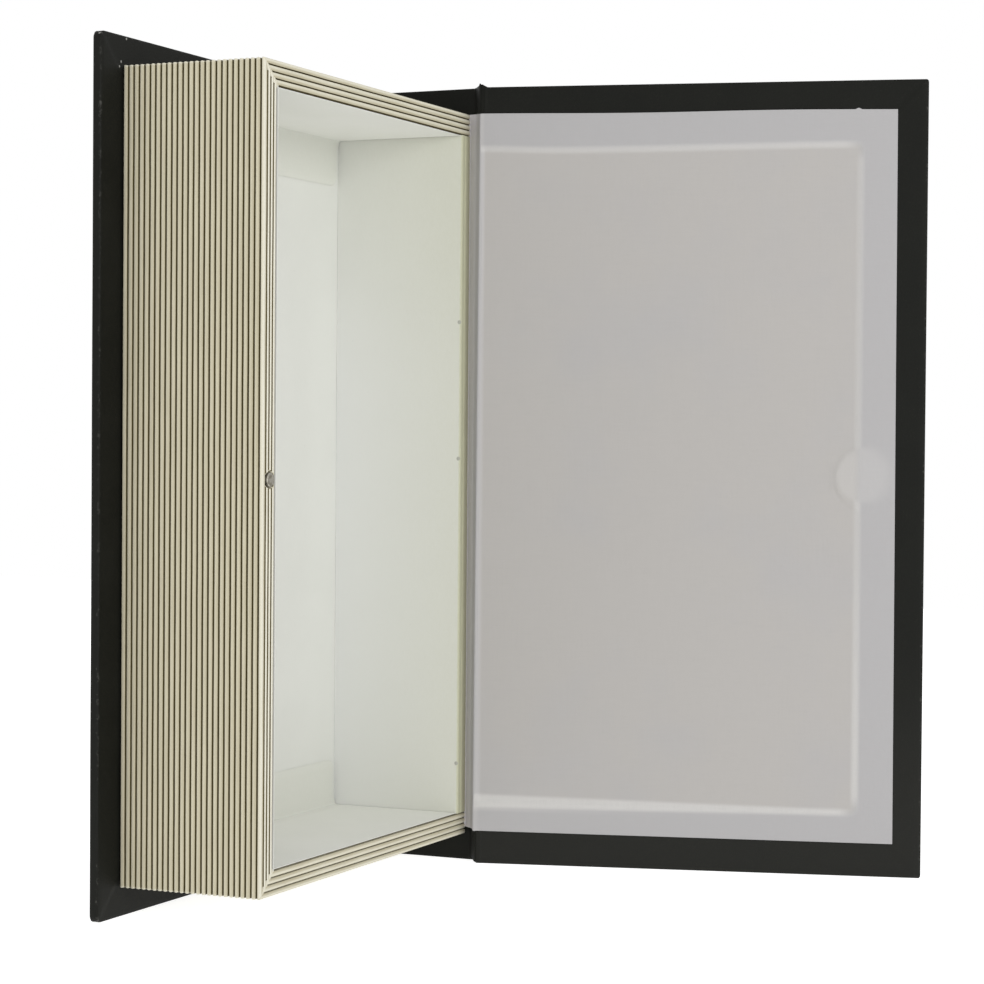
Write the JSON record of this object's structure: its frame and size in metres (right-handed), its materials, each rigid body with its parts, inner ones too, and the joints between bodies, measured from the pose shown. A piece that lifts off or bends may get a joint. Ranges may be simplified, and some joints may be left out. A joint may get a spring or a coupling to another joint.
{
  "type": "decorative book box",
  "caption": "Hollow book with a cloth case, a tray with ribbed page edges, a hinged front cover and a magnet closure, standing open on its tail edges.",
  "frame": {"origin": "middle of the back cover's tail edge, on the surface that the box stands on", "axes": "+Z from tail to head, +Y out of the back cover, away from the tray's mouth, +X towards the spine"},
  "size_m": [0.195, 0.2069, 0.27],
  "materials": {
    "book_cloth": "black coated bookcloth, low sheen, scuffed at edges",
    "board": "bare grey board",
    "page_edge": "milled grooves, painted cream, brown in the grooves",
    "bare_wall": "plain fibreboard edge, dull olive",
    "lining_paper": "matt pale paper",
    "endpaper": "matt grey paper with a fine linen grain",
    "magnet": "nickel plated, dulled",
    "keeper_steel": "plain steel"
  },
  "bodies": {
    "case": {"back_board": "board", "spine_board": "board", "case_cloth": "book_cloth", "fore_edge_wall": "page_edge", "head_wall": "page_edge", "tail_wall": "page_edge", "spine_wall": "bare_wall", "floor_card": "board", "floor_lining": "lining_paper", "fore_edge_lining": "lining_paper", "spine_lining": "lining_paper", "head_lining": "lining_paper", "tail_lining": "lining_paper", "rim_magnet": "magnet", "joint_cloth": "book_cloth", "joint_endpaper": "endpaper"},
    "front_cover": {"front_board": "board", "front_cover_cloth": "book_cloth", "front_endpaper": "endpaper", "keeper_disc": "keeper_steel"}
  },
  "joints": [
    {"name": "cover_hinge", "type": "hinge", "parent": "case", "child": "front_cover", "pos_m": [0.0788, -0.0546, 0.135], "axis": [0, 0, 1], "range_deg": [-104.8, 75.2], "deforming": ["joint_cloth", "joint_endpaper"]}
  ]
}
